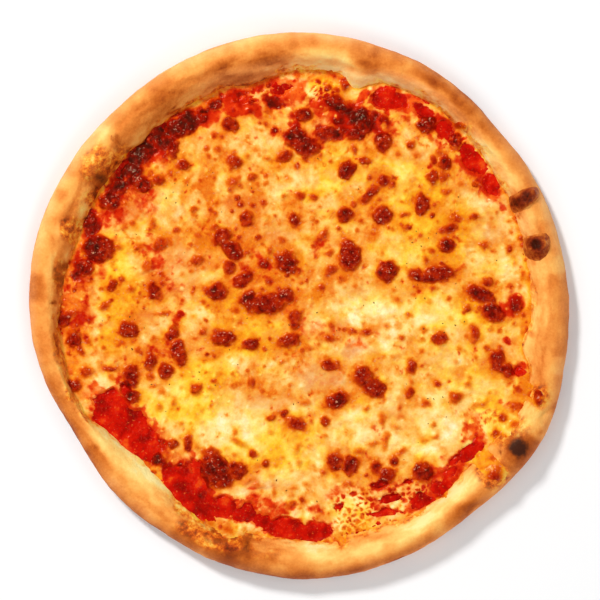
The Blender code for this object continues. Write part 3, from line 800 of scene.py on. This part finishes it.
crustLook = {
    "around": 720,           # vertices round the rim, a multiple of four
    "girth": 140,            # the radius that the skin is unrolled at, mm
    "sideSteps": 12, "topSteps": 14, "slopeSteps": 18,
    "lumps": 0.6,            # height of the large unevenness, mm
    "wrinkles": 0.20,        # height of the fine unevenness, mm
    "bubbleRise": 1.1,       # mm, as are the next two
    "dentDepth": 1.0,
    "foldDepth": 0.9,
    # how much each of these browns it, from 0, pale, to 1, dark brown
    "heel": 0.14,            # the outer side, low down
    "patches": 0.26,
    "streaks": 0.09,
    "folds": 0.10,
    "seam": 0.12,
    "toasted": 0.30,
    # flour dust and painted highlights make it paler
    "flourAndHighlight": -0.22,
    "roughness": 0.62,
}


def rimSection():
    # radius and height down the mean section of the rim, from the foot to the bed, mm
    s, look = roundShape, crustLook
    widest = s["widestShare"] * s["height"]
    crest = s["radius"] - s["crestInset"]
    section = []
    for step in range(look["sideSteps"] + 1):
        turn = math.pi / 2 * step / look["sideSteps"]
        section.append((s["radius"] - s["footInset"] * (1 - math.sin(turn)), widest * (1 - math.cos(turn))))
    for step in range(1, look["topSteps"] + 1):
        turn = math.pi / 2 * step / look["topSteps"]
        section.append((crest + s["crestInset"] * math.cos(turn),
                        widest + (s["height"] - widest) * math.sin(turn)))
    for step in range(1, look["slopeSteps"] + 1):
        share = math.sin(math.pi / 2 * step / look["slopeSteps"])
        height = bedLevel + (s["height"] - bedLevel) * (1 - share * share) ** s["slopePower"]
        section.append((crest + (s["bed"] - crest) * share, height))
    section.append((s["bed"] - 6, bedLevel))
    return section


def shapeRim(points):
    # draws the mean round out to the uneven one
    s = roundShape
    x, y, z = points.T
    angle, radius = angleOf(x, y), np.hypot(x, y)
    outer, bed, top = outlineAt(angle), bedEdgeAt(angle), rimHeightAt(angle)
    crest = s["radius"] - s["crestInset"]
    inward = radius * bed / s["bed"]
    slope = bed + (radius - s["bed"]) * (outer - s["crestInset"] - bed) / (crest - s["bed"])
    side = radius + outer - s["radius"]
    foot = s["radius"] - s["footInset"]
    under = z < 1e-6
    new = np.where(radius <= s["bed"], inward, np.where(radius <= crest, slope, side))
    new = np.where(under, radius * (outer - s["footInset"]) / foot, new)
    inside = (radius <= crest) & ~under
    lifted = np.where(inside, bedLevel + (z - bedLevel) * (top - bedLevel) / (s["height"] - bedLevel),
                      z * top / s["height"])
    scale = new / np.maximum(radius, 1e-9)
    return np.column_stack([x * scale, y * scale, lifted])


def unrolled(x, y, z):
    # places on the rim's skin as if it were laid out flat: along it and across it, mm
    return np.radians(angleOf(x, y)) * crustLook["girth"], np.hypot(x, y) + 1.4 * z


def swelling(x, y, marks):
    # broad rounded rises over the marks, up to 1
    total = np.zeros_like(x)
    for mark in listed(marks):
        total = np.maximum(total, mark.strength * np.clip(1 - away(x, y, mark) ** 2, 0, 1) ** 0.8)
    return total


def foldsAt(x, y):
    return spots(*stirred(x, y, 7, 1.6, 91), crustMarks["folds"], 0.9)


def skinAt(x, y, z, upper=1):
    # relief of the rim's skin in mm: soft lumps, fine skin, bubbles, dents and folds
    look = crustLook
    along, across = unrolled(x, y, z)
    skin = look["lumps"] * sway(along, across, 17, 11) + look["wrinkles"] * sway(along, across, 3.2, 21)
    skin += upper * look["bubbleRise"] * swelling(x, y, crustMarks["bubbles"])
    skin -= upper * look["dentDepth"] * swelling(x, y, crustMarks["dents"])
    return skin - upper * look["foldDepth"] * foldsAt(x, y)


def bakedAt(angle, share):
    # how brown the rim is at a share of its width from the inner edge
    rings = [plain + lobes(angle, table) for place, plain, table in rimBake]
    bake = rings[0]
    for ring in range(1, len(rings)):
        reached = ease(share, rimBake[ring - 1][0], rimBake[ring][0])
        bake = bake + (rings[ring] - rings[ring - 1]) * reached
    return bake


def makeCrust():
    section = rimSection()
    freshStart()
    bpy.ops.mesh.primitive_circle_add(vertices=crustLook["around"], radius=section[0][0] * mm)
    piece = bpy.context.object
    piece.name = piece.data.name = "bakedDough"
    bpy.ops.object.mode_set(mode="EDIT")
    bpy.ops.mesh.select_all(action="SELECT")
    for (radius, height), (nextRadius, nextHeight) in zip(section, section[1:]):
        rise = (nextHeight - height) * mm
        bpy.ops.mesh.extrude_edges_move(TRANSFORM_OT_translate={"value": (0, 0, rise)})
        ratio = nextRadius / radius
        bpy.ops.transform.resize(value=(ratio, ratio, 1), center_override=(0, 0, 0))
    bpy.ops.mesh.edge_face_add()
    selectOpenEdge()
    bpy.ops.mesh.fill_grid(span=crustLook["around"] // 4)
    shutMesh()

    points = shapeRim(readPoints(piece) / mm)
    writePoints(piece, points * mm)
    x, y, z = points.T
    normal = np.empty(len(points) * 3)
    piece.data.vertex_normals.foreach_get("vector", normal)
    normal = normal.reshape(-1, 3)
    angle, radius = angleOf(x, y), np.hypot(x, y)
    outer, bed = outlineAt(angle), bedEdgeAt(angle)
    along, across = unrolled(x, y, z)

    # relief, none where it stands on the table
    upper = ease(normal[:, 2], -0.1, 0.25)
    skin = skinAt(x, y, z, upper) * ease(z, 0.3, 3.0) * ease(radius, bed - 2, bed + 3)
    under = z < 1e-6
    points += normal * skin[:, None]
    points[under, 2] = 0.25 * mottle(x, y, 9, 31)[under] * ease(outer - radius, 6, 14)[under]
    writePoints(piece, points * mm)

    # how far each place is baked, from 0, pale, to 1, dark brown
    look = crustLook
    share = (radius - bed) / (outer - bed)
    bake = bakedAt(angle, share + 0.05 * sway(along, across, 9, 35))
    bake += look["heel"] * ease(12 - z, 0, 9) * ease(share, 0.6, 0.9)
    bake += look["patches"] * (ease(mottle(along / 1.6, across, 9, 41, 4), 0.30, 0.70) - 0.5)
    bake += look["streaks"] * sway(along / 2.5, across, 2.8, 51) + look["folds"] * upper * foldsAt(x, y)
    frayed = stirred(*stirred(x, y, 6, 2.0, 61), 2.5, 1.0, 65)
    # toasted patches, and pale patches that are partly painted highlights
    for mark in ("toasted", "flourAndHighlight"):
        bake += look[mark] * upper * spots(*frayed, crustMarks[mark], 0.8)
    seam = 1 - ease(radius - bed - 8 * (mottle(along, across, 5, 81) - 0.45), 0, 4.0)
    bake += (look["seam"] + lobes(angle, seamBrown)) * seam
    char = upper * spots(*frayed, crustMarks["charred"], 0.7)
    oiled = np.maximum(upper * spots(*frayed, crustMarks["oiled"], 0.5), 0.85 * seam)
    dusty = ease(share, 0.45, 1.0) * (0.4 + 0.9 * mottle(along, across, 14, 85))
    # painted shade: the inner slope that faces away from the lamps is tinted rosier, as warm light thrown
    # into its shade would make it
    dusty = np.maximum(dusty, lobes(angle, shadedSlopeTint) * (1 - ease(share, 0.25, 0.6)))
    paintOn(piece, bake=bake, char=char, oiled=oiled, dusty=dusty, under=under)
    return piece


def crustFinish():
    settings = {"Specular IOR Level": 0.15, "Specular Tint": paint(255, 226, 188)}
    material, shader, wire = startFinish("bakedDoughFinish", settings)
    fine = wire.noise(1.4, 4, 0.6)
    flour = wire.noise(8, 4, 0.6)
    bake = wire.mask("bake") + 0.20 * (fine - 0.5) + 0.16 * (flour - 0.5)
    colour = bake.ramp(
        (0.00, 255, 236, 158), (0.14, 255, 217, 124), (0.30, 254, 192, 100), (0.46, 248, 162, 74),
        (0.60, 230, 132, 52), (0.74, 202, 102, 30), (0.88, 160, 66, 14), (1.00, 112, 40, 10))
    # a dust-pink tone on the outer side, and painted warm shade on the inner slope that faces away from the
    # lamps
    dusty = (wire.mask("dusty") + 0.5 * (flour - 0.5)).step(0.2, 1.1)
    pinkish = bake.ramp(
        (0.05, 255, 204, 138), (0.30, 253, 182, 112), (0.55, 236, 144, 74), (0.85, 174, 84, 36))
    colour = wire.mix(dusty * 0.85, colour, pinkish)
    oiled = (wire.mask("oiled") + 0.45 * (wire.noise(3.2, 4) - 0.5)).step(0.15, 0.85)
    oil = (0.5 * bake + 1.7 * wire.noise(4.6, 5, 0.68) - 0.50).ramp(
        (0.28, 255, 218, 112), (0.42, 255, 184, 66), (0.54, 246, 140, 34), (0.66, 220, 96, 18),
        (0.80, 166, 54, 10), (0.94, 104, 32, 8))
    colour = wire.mix(oiled * 0.85, colour, oil)
    char = wire.mask("char") + 0.6 * (wire.noise(1.8, 4, 0.65) - 0.5)
    colour = wire.mix(char.step(0.05, 0.70), colour, paint(170, 76, 18))
    colour = wire.mix(char.step(0.45, 1.05), colour, paint(64, 26, 14))
    # the underside is mottled where it touched the hot stone
    stone = (wire.noise(16, 5, 0.6) + 0.4 * wire.noise(3)).ramp(
        (0.56, 238, 190, 124), (0.70, 220, 156, 88), (0.80, 164, 98, 46), (0.92, 88, 44, 20))
    colour = wire.mix(wire.mask("under"), colour, stone)
    plug(shader, Base_Color=colour, Roughness=crustLook["roughness"] - 0.28 * oiled + 0.1 * (flour - 0.5))
    addBump(shader, wire.noise(0.9, 4, 0.6) + 1.5 * wire.noise(3.5), 0.32)
    return material


# The layer of tomato sauce

sauceLook = {
    "splits": (36, 3),       # the disc has 36 × 3 rings
    "past": 2.5,             # how far it runs past the bed's edge, mm
    "clots": 0.45,           # height of the lumps of tomato, mm
    "pulp": 0.16,            # height of the fine bits, mm
    "pooled": 0.9,           # how much higher it stands where it lies bare, mm
    "roughness": 0.16,
}


def makeSauce():
    look = sauceLook
    piece, points = evenDisc("sauceLayer", lambda angle: bedEdgeAt(angle) + look["past"], look["splits"])
    x, y = points[:, 0], points[:, 1]
    lumps = mottle(x, y, 5.5, 401)
    beyond = np.hypot(x, y) - bedEdgeAt(angleOf(x, y))
    pool = ease(spots(x, y, cheeseMarks["bare"], 0.9), 0.1, 0.7)
    points[:, 2] = sauceLevel + look["clots"] * (2 * lumps - 1) + look["pulp"] * sway(x, y, 2.2, 411, 2)
    points[:, 2] += 0.6 * ease(beyond, -6, 1) + look["pooled"] * pool
    writePoints(piece, points * mm)
    paintOn(piece, clots=lumps)
    closeBelow(piece, bedLevel + 0.1)
    return piece


def sauceFinish():
    settings = {"Specular IOR Level": 0.16, "Specular Tint": paint(255, 214, 170)}
    material, shader, wire = startFinish("tomatoSauceFinish", settings)
    shade = 0.14 + 0.74 * wire.mask("clots") + 0.42 * (wire.noise(2.6, 4, 0.6) - 0.5)
    shade = shade + 0.32 * (wire.noise(7, 2) - 0.5)
    colour = shade.ramp(
        (0.18, 112, 2, 0), (0.36, 158, 4, 0), (0.50, 190, 8, 0), (0.66, 212, 26, 3), (0.86, 236, 92, 18))
    colour = wire.mix(0.5 * wire.noise(1.4, 2).step(0.63, 0.75), colour, paint(246, 118, 52))
    plug(shader, Base_Color=colour, Roughness=sauceLook["roughness"] + 0.15 * wire.noise(3))
    addBump(shader, wire.noise(2.2, 1.5, 0.5), 0.8)
    return material


# The melted mozzarella

cheeseLook = {
    "splits": (43, 4),       # the disc has 43 × 4 rings
    "past": 5.5,             # how far it runs past the bed's edge, mm
    "lap": 4.0,              # how far its tongues lap up on to the crust, mm
    "swells": 0.45,          # heights of the unevenness, widest first, mm
    "ripples": 0.22,
    "grit": 0.08,
    "blister": 0.26,         # a blister's height as a share of its width, and its most, mm
    "blisterMost": 3.4,
    "wrinkles": 0.85,        # unevenness of the blisters, as a share of their height
    "bubble": 0.22,          # the same for the small bubbles
    "bubbleMost": 1.1,
    "thinning": 1.5,         # how much thinner it is at the rim, mm
    "dip": 2.8,              # how far it sinks where the sauce lies bare
    "hidden": 2.4,           # how far it lies under the crust's skin past its edge, mm
    "fillet": 1.6,           # how softly it meets the crust, mm
    # how far it has coloured: 0 milk white, 0.3 pale orange, 0.6 orange red, 0.8 dark red, 1 nearly black
    "plain": 0.305,
    "pale": -0.14,
    "warmth": 0.15,
    "milky": -0.32,
    "scorched": 0.74,
    "rusty": 0.72,
    "seared": 0.84,
    # how much further out it runs round the clock, mm
    "spill": ((319, 7, 14), (333, 11, 8), (145, 8, 8), (174, 8, 3), (250, 12, 6), (280, 4, 5), (47, 8, 3)),
    "roughness": 0.2,
}


def meeting(first, second, blend):
    # the higher of two surfaces, run together where they lie within that much of each other
    near = np.maximum(blend - np.abs(first - second), 0)
    return np.maximum(first, second) + near * near / (4 * blend)


def cheeseAt(x, y):
    # height of the cheese's upper side in mm, and its masks
    look, marks = cheeseLook, cheeseMarks
    u, v = stirred(*stirred(x, y, 9, 1.6, 301), 3.2, 0.8, 305)
    wide = stirred(x, y, 14, 6, 321)
    ragged = stirred(*stirred(x, y, 9, 2.6, 351), 3, 1.2, 355)
    loose = stirred(x, y, 4, 0.8, 307)
    radius, angle = np.hypot(x, y), angleOf(x, y)
    fromRim = bedEdgeAt(angle) - radius

    scorched, scorchGlow = burns(u, v, marks["scorched"], 2.8, 381)
    rusty, rustyGlow = burns(u, v, marks["rusty"], 1.8, 385)
    large = pips(*loose, 7.0, 0.66, 1.8, 3.6, 331)
    small = pips(*loose, 3.4, 0.55, 0.7, 1.6, 341)
    curds = pips(u, v, 6.5, 0.45, 0.9, 2.4, 345)
    rings = pips(*loose, 10, 0.3, 1.4, 3.4, 347)
    bare = spots(*ragged, marks["bare"], 0.7) + 0.5 * sway(x, y, 4.5, 361, 4)
    sunk = ease(bare, 0.30, 0.85)
    seared = spots(*stirred(*ragged, 6, 2.5, 359), marks["seared"], 0.8)
    searedGlow = ease(seared, 0, 0.5)
    seared = ease(seared + 0.9 * sway(x, y, 5, 365, 4), 0.25, 1.05)
    stained = 1.5 * spots(*wide, marks["stained"], 0.8)
    stained = ease(stained + 0.8 * sway(*ragged, 5, 367) * ease(stained, 0, 0.3), 0.05, 1.2)
    lace = spots(*ragged, marks["lacy"], 0.5)
    threads = 1 - ease(webbing(*stirred(x, y, 4, 1.6, 365), 3.4, 371), 0.25, 0.75)
    onRim = ease(spots(*ragged, marks["spilt"], 0.5) + 0.25 * sway(x, y, 5, 369), 0.35, 0.75)

    top = cheeseLevel + look["swells"] * sway(x, y, 18, 201, 2)
    top += look["ripples"] * sway(x, y, 5, 211) + look["grit"] * sway(x, y, 1.9, 221, 2)
    top -= look["thinning"] * (1 - ease(fromRim, 0, 14))
    blister = domes(u, v, marks["scorched"], look["blister"], look["blisterMost"])
    bubble = domes(u, v, marks["rusty"], look["bubble"], look["bubbleMost"])
    wrinkles = 0.5 * look["wrinkles"] * sway(x, y, 3.0, 231, 2) * (1 - 0.7 * seared)
    raised = np.maximum(blister * (0.92 + wrinkles), bubble)
    scattered = 0.45 * np.sqrt(large) + 0.25 * np.sqrt(small) + 0.4 * np.sqrt(curds)
    raised += scattered * (1 - 0.85 * seared)
    top -= look["dip"] * sunk * (1 - 0.8 * ease(blister, 0.2, 1.2)) * ease(fromRim, 0.3, 2.6)
    top -= 0.4 * lace * (1 - threads) + 0.8 * seared
    # at the rim it laps up on to the crust in uneven tongues, and hides under the skin past them
    lap = ease(fromRim + look["lap"] * (2 * mottle(x, y, 7, 241, 4) - 0.9), -0.5, 0.5)
    lap = np.maximum(lap, onRim)
    rim = crustHeight(x, y)
    rim += 1.2 * skinAt(x, y, rim) * ease(-fromRim, -2, 3)
    rim += (look["hidden"] + 0.3) * lap - look["hidden"] + 0.4 * raised * onRim
    top = meeting(top + raised, rim, look["fillet"])

    # how far it has coloured
    pale = spots(*wide, marks["pale"], 0.7)
    base = look["plain"] + look["pale"] * pale + look["warmth"] * spots(*wide, marks["warmth"], 0.6)
    # the milk-white patches are partly painted highlight
    base += look["milky"] * spots(u, v, marks["milky"], 0.5) - 0.20 * ease(curds, 0.1, 0.8)
    base += 0.26 * sway(*wide, 11, 261) + 0.17 * sway(u, v, 4.2, 265)
    base += lace * (0.14 - 0.32 * threads)
    base = np.clip(base, 0.0, 0.5)
    hem = (1 - ease(fromRim + 3 * mottle(x, y, 5, 287), -0.5, 3.2)) * (1 - 0.5 * sunk)
    hem = np.maximum(hem * (1 - onRim), 4 * onRim * (1 - onRim) * ease(-fromRim, -2, 2))
    flecks = 0.26 * ease(large, 0, 0.65) + 0.09 * ease(small, 0, 0.7) + 0.17 * ease(rings, 0.05, 0.4)
    flecks = (flecks - 0.22 * ease(rings, 0.35, 0.9)) * (1 - 0.5 * pale)
    glow = np.maximum(scorchGlow, 0.85 * rustyGlow) * (0.30 + 1.2 * mottle(x, y, 5, 285, 2))
    base = base + (0.54 - base) * np.clip(np.maximum(glow, 0.6 * hem), 0, 1)
    burnt = np.maximum(look["scorched"] * scorched, look["rusty"] * rusty)
    burnt *= 1 + 0.35 * sway(x, y, 3.2, 291) + 0.2 * sway(x, y, 9, 295, 2)
    burnt = np.maximum(burnt, look["seared"] * seared * (0.48 + 0.9 * mottle(x, y, 6, 297)))
    colouring = base + (1 - base) * burnt + flecks * (1 - burnt) * (1 - 0.5 * glow)

    # how much sauce has soaked in
    seam = (1 - ease(fromRim, -3, 7)) * (0.2 + mottle(x, y, 7, 281, 2)) * (0.75 + lobes(angle, seamStain))
    shore = 1.3 * spots(*ragged, marks["bare"], 1.0) * (0.6 + 0.8 * mottle(x, y, 5, 363))
    stain = np.maximum(np.maximum(stained, shore), 1.1 * ease(bare, 0.1, 0.5))
    stain = np.maximum(stain, 0.55 * lace) * (1 - 0.8 * lace * threads)
    stain = np.maximum(np.maximum(stain, seam), 0.75 * searedGlow * (0.4 + 1.2 * mottle(x, y, 6, 283)))
    stain = np.maximum(stain * (1 - 0.9 * onRim) * (1 - 0.5 * ease(-fromRim, -1.5, 1.5)), seared)
    stain = np.clip(stain, 0, 1.1) * (1 - 0.8 * ease(curds, 0.1, 0.7) * (1 - sunk))

    golden = 0.10 + 0.8 * mottle(*wide, 7, 311) + 0.42 * spots(*wide, marks["golden"], 0.7)
    golden += 0.22 * np.clip(glow, 0, 1) + 0.3 * hem
    hazy = spots(*wide, marks["hazy"], 0.6)
    masks = {"colouring": colouring, "stain": stain, "golden": golden, "hazy": hazy, "seared": seared}
    return top, masks


def cheeseReach(angle):
    return bedEdgeAt(angle) + cheeseLook["past"] + lobes(angle, cheeseLook["spill"])


def makeCheese():
    piece, points = evenDisc("meltedMozzarella", cheeseReach, cheeseLook["splits"])
    points[:, 2], masks = cheeseAt(points[:, 0], points[:, 1])
    writePoints(piece, points * mm)
    paintOn(piece, **masks)
    closeBelow(piece, bedLevel + 0.2)
    return piece


def cheeseFinish():
    settings = {"Specular IOR Level": 0.12, "Specular Tint": paint(255, 220, 176)}
    material, shader, wire = startFinish("meltedMozzarellaFinish", settings)
    fine, middling = wire.noise(1.1, 3, 0.6), wire.noise(4.0, 4, 0.6)
    stain = (wire.mask("stain") + 0.7 * (wire.noise(3.2, 4, 0.6) - 0.5)).step(0.15, 0.9)
    browned = wire.mask("colouring").step(0.55, 0.8)
    plain = 1 - browned
    calm = 1 - 0.75 * wire.mask("seared")
    blistered = browned * calm * wire.noise(8, 2).step(0.36, 0.56)
    colouring = wire.mask("colouring") + (0.05 + 0.11 * plain) * (fine - 0.5) + 0.18 * (middling - 0.5)
    colouring = colouring + 0.07 * plain * wire.noise(1.8, 2).step(0.60, 0.72)
    colouring = colouring + 0.6 * browned * (wire.noise(3.2, 2, 0.5) - 0.5)
    milky = colouring.ramp(
        (0.00, 255, 242, 190), (0.10, 255, 229, 156), (0.20, 254, 212, 128), (0.30, 249, 187, 94),
        (0.40, 242, 154, 56), (0.50, 231, 114, 22), (0.60, 213, 80, 8), (0.70, 192, 52, 4),
        (0.80, 170, 29, 1), (0.90, 138, 12, 0), (1.00, 96, 6, 0))
    golden = colouring.ramp(
        (0.00, 255, 238, 124), (0.14, 254, 221, 84), (0.30, 249, 190, 44), (0.45, 240, 143, 18),
        (0.60, 214, 82, 6), (0.72, 184, 42, 2), (0.90, 138, 12, 0), (1.00, 96, 6, 0))
    amount = wire.mask("golden") + 0.45 * (wire.noise(5, 4, 0.6) - 0.5) + 0.25 * (wire.noise(1.8, 3) - 0.5)
    colour = wire.mix(amount.step(0.32, 1.0), milky, golden)
    # matt, half clear stretches, partly painted shade
    dullAndShaded = (wire.noise(3.4, 5, 0.65) + 0.5 * (wire.noise(16, 2) - 0.5)).step(0.46, 0.72)
    dullAndShaded = (0.25 * dullAndShaded + 0.48 * wire.mask("hazy")) * (1 - wire.mask("colouring").step(0.4, 0.6))
    colour = wire.mix(dullAndShaded, colour, paint(226, 122, 66))
    soaked = (0.8 * colouring + 0.2 * stain).ramp(
        (0.16, 250, 168, 84), (0.34, 241, 106, 28), (0.48, 218, 50, 8), (0.62, 186, 20, 1),
        (0.78, 148, 14, 1), (0.90, 112, 12, 2), (1.00, 72, 12, 4))
    colour = wire.mix(stain, colour, soaked)
    # painted highlights: pale flecks of fat in the colour that stand in for glints on the glossy cheese and
    # blisters
    glintFlecks = wire.noise(1.8, 1.5, 0.5).step(0.62, 0.76)
    colour = wire.mix(0.22 * glintFlecks * plain * (1 - stain), colour, paint(255, 224, 150))
    colour = wire.mix(glintFlecks * calm * (0.28 * browned + 0.36 * blistered), colour, paint(250, 178, 136))
    roughness = cheeseLook["roughness"] + 0.2 * (middling - 0.5) + 0.06 * (1 - calm)
    plug(shader, Base_Color=colour, Roughness=roughness)
    waves = calm * (1 + 0.4 * browned) * wire.noise(2.8, 1.5, 0.5)
    addBump(shader, waves + (0.3 * browned * calm + 0.9 * blistered) * wire.bubbles(2.5), 0.6)
    return material


# The two browned blobs of cheese on the rim

blobLook = {
    "splits": (10, 4),
    "upper": {0.9: ((119, 57, 13, 12, 20), (124, 60, 15, 12, 30)), 0.5: ((128, 63, 9, 7, 30),)},
    "lower": {1.15: ((129, 34, 13, 12),), 0.75: ((130, 31, 17, 15, 20),), 0.45: ((134, 37, 9, 8, 45),)},
    "sunk": 1.2,             # how deep its edge lies in the rim, mm
    "rise": 3.6,
    "search": 20,            # how far from its middle its edge is looked for, mm
    "roughness": 0.48,
}


def makeBlob(name, parts):
    # a dome over each part, run together; its edge lies sunk in the rim
    look = blobLook
    middleX, middleY = np.mean([(part.x, part.y) for part in listed(parts)], axis=0)
    piece, points = evenDisc(name, np.ones_like, look["splits"])
    steps = np.linspace(0, look["search"], 161)
    ways = np.linspace(-180, 180, 181)
    lineX, lineY = placeAt(steps, ways[:, None])
    inside = blobBody(middleX + lineX, middleY + lineY, parts) > 0
    reach = [steps[row].max() for row in inside]
    turn = angleOf(points[:, 0], points[:, 1])
    share = np.hypot(points[:, 0], points[:, 1])
    x, y = placeAt(share * np.interp(turn, ways, reach), turn)
    x, y = x + middleX, y + middleY
    body = blobBody(x, y, parts)
    z = crustHeight(x, y) - look["sunk"] + (look["sunk"] + look["rise"]) * body
    points = np.column_stack([x, y, z + 0.25 * sway(x, y, 2.4, 501) * body])
    writePoints(piece, points * mm)
    dark = np.zeros_like(x)
    for part in listed(parts):
        far = away(*stirred(x, y, 4, 1.0, 521), part)
        dark = np.maximum(dark, part.strength * (1 - ease(far, 0.1, 1.2)))
    paintOn(piece, dark=dark)
    closeBelow(piece, points[:, 2].min() - 0.5)
    return piece


def blobBody(x, y, parts):
    u, v = stirred(x, y, 5, 1.2, 511)
    field = np.zeros_like(x)
    for part in listed(parts):
        field = field + part.strength * np.clip(1 - away(u, v, part) ** 2 / 1.5, 0, 1) ** 2
    return np.clip((field - 0.16) / 0.9, 0, 1) ** 0.55


def blobFinish():
    settings = {"Specular IOR Level": 0.15, "Specular Tint": paint(255, 222, 180)}
    material, shader, wire = startFinish("brownedCheeseFinish", settings)
    dark = 0.85 * wire.mask("dark") + 1.2 * (wire.noise(3.2, 4, 0.65) - 0.5)
    colour = dark.ramp(
        (0.05, 214, 124, 46), (0.28, 178, 82, 26), (0.50, 140, 46, 12), (0.72, 98, 22, 4),
        (0.95, 58, 10, 2))
    plug(shader, Base_Color=colour, Roughness=blobLook["roughness"] + 0.2 * (wire.noise(3) - 0.5))
    addBump(shader, wire.noise(2.2, 2, 0.5) + 0.6 * wire.bubbles(2.4), 0.6)
    return material


# Dried herbs: one leaf, copied and strewn

herbLook = {
    "count": 80,
    "strewn": 112,           # how far out from the middle they lie, mm
    "smallest": 0.3,         # half length, mm
    "largest": 0.7,
    "lean": 0.5,             # most, in radians
    "lift": 0.12,            # height of a leaf's middle over the cheese, mm
    "placed": (              # where the first of them lie, mm
        (61, 35), (66, 33), (68, 4), (63, 4), (78, -10), (85, -11), (90, -9), (108, 25), (125, -21),
        (-45, 52), (-9, -103), (8, -109), (-5, -55), (-84, -44), (-74, -44), (-76, -59), (80, -62),
        (34, 0), (19, -14), (8, -4), (-71, 68), (-64, 67), (-72, 63), (73, -52), (78, -51), (-50, 74),
    ),
}


def makeHerbs():
    freshStart()
    bpy.ops.mesh.primitive_ico_sphere_add(subdivisions=1, radius=mm)
    leaf = bpy.context.object
    bpy.ops.object.mode_set(mode="EDIT")
    bpy.ops.mesh.select_all(action="SELECT")
    bpy.ops.transform.resize(value=(1, 0.55, 0.28))
    bpy.ops.object.mode_set(mode="OBJECT")
    look = herbLook
    draw = np.random.default_rng(77)
    places = list(look["placed"])
    while len(places) < look["count"]:
        x, y = draw.uniform(-look["strewn"], look["strewn"], 2)
        if math.hypot(x, y) < look["strewn"]:
            places.append((x, y))
    places = np.array(places, float)
    height = cheeseAt(places[:, 0], places[:, 1])[0]
    copies = []
    for (x, y), z in zip(places, height):
        size = draw.uniform(look["smallest"], look["largest"])
        lean = Matrix.Rotation(draw.uniform(-look["lean"], look["lean"]), 4, "X")
        lean = lean @ Matrix.Rotation(draw.uniform(-look["lean"], look["lean"]), 4, "Y")
        turn = Matrix.Rotation(draw.uniform(0, math.tau), 4, "Z")
        place = Matrix.Translation((x * mm, y * mm, (z + look["lift"]) * mm))
        copy = leaf.copy()
        copy.data = leaf.data.copy()
        copy.data.transform(place @ turn @ lean @ Matrix.Scale(size, 4))
        bpy.context.collection.objects.link(copy)
        copies.append(copy)
    bpy.data.objects.remove(leaf)
    freshStart()
    for copy in copies:
        copy.select_set(True)
    bpy.context.view_layer.objects.active = copies[0]
    bpy.ops.object.join()
    piece = copies[0]
    piece.name = piece.data.name = "driedHerbs"
    return piece


def herbFinish():
    material, shader, wire = startFinish("driedHerbFinish", {"Specular IOR Level": 0.1})
    colour = wire.noise(2.5).ramp((0.3, 92, 46, 14), (0.55, 136, 76, 22), (0.75, 110, 78, 24))
    plug(shader, Base_Color=colour, Roughness=0.55 + 0.3 * wire.noise(1.2))
    return material


# Everything made and put together

crust = settle(makeCrust(), crustFinish(), "dough")
print("dough made:", len(crust.data.polygons), "faces")

sauce = settle(makeSauce(), sauceFinish(), "tomato_sauce")
print("sauce made:", len(sauce.data.polygons), "faces")

cheese = settle(makeCheese(), cheeseFinish(), "mozzarella")
print("cheese made:", len(cheese.data.polygons), "faces")

browned = blobFinish()
for which in ("upper", "lower"):
    blob = makeBlob("brownedBlob" + which.title(), blobLook[which])
    settle(blob, browned, "rim_cheese_blob_" + which)
print("rim blobs made")

herbs = makeHerbs()
herbs.data.materials.append(herbFinish())
herbs.data.transform(toMiddle)
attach(herbs, "root")
print("herbs strewn")


# Floor, light and camera

roomLook = {
    "floor": 6.0,            # side of the floor, m
    "sky": 0.27,
    "cameraUp": 1.2,         # above the rim's crest, m
    "framed": 0.331,         # width in view at the crest, m
    "aside": 0.0006,         # the view's middle from the box's middle
    "ahead": 0.0033,
    # name, degrees round from +X, degrees up, distance and width in m, watts
    "lamps": (
        ("keyLamp", 127, 42, 2.5, 0.42, 46.5), ("leftLamp", 205, 50, 2.4, 1.4, 8.0),
        ("rightLamp", 10, 50, 2.4, 1.4, 8.0), ("frontLamp", 292, 40, 2.4, 1.4, 15.0),
    ),
}


def addLamp(name, around, up, away, width, power, centre):
    around, up = math.radians(around), math.radians(up)
    toLamp = Vector((math.cos(around) * math.cos(up), math.sin(around) * math.cos(up), math.sin(up)))
    bpy.ops.object.light_add(type="AREA", location=centre + toLamp * away)
    lamp = bpy.context.object
    lamp.name = name
    lamp.data.energy = power
    lamp.data.shape = "DISK"
    lamp.data.size = width
    lamp.rotation_euler = toLamp.to_track_quat("Z", "Y").to_euler()


def makeRoom():
    look = roomLook
    low, high = cadBox
    centre = (low + high) / 2
    freshStart()
    bpy.ops.mesh.primitive_plane_add(size=look["floor"], location=(centre.x, centre.y, low.z - 0.0001))
    floor = bpy.context.object
    floor.name = floor.data.name = "paleFloor"
    plain = {"Roughness": 0.8, "Base Color": (0.93, 0.93, 0.93, 1)}
    floor.data.materials.append(startFinish("paleFloorFinish", plain)[0])

    world = bpy.data.worlds.new("paleSky")
    world.use_nodes = True
    background = world.node_tree.nodes["Background"]
    background.inputs["Color"].default_value = (1, 1, 1, 1)
    background.inputs["Strength"].default_value = look["sky"]
    bpy.context.scene.world = world
    for lamp in look["lamps"]:
        addLamp(*lamp, centre)

    place = Vector((centre.x + look["aside"], centre.y + look["ahead"], high.z + look["cameraUp"]))
    bpy.ops.object.camera_add(location=place, rotation=(0, 0, 0))
    camera = bpy.context.object
    camera.name = "fromAbove"
    camera.data.sensor_width = 36
    camera.data.lens = 36 * look["cameraUp"] / look["framed"]
    bpy.context.scene.camera = camera
    bpy.context.scene.view_settings.view_transform = "Standard"


makeRoom()
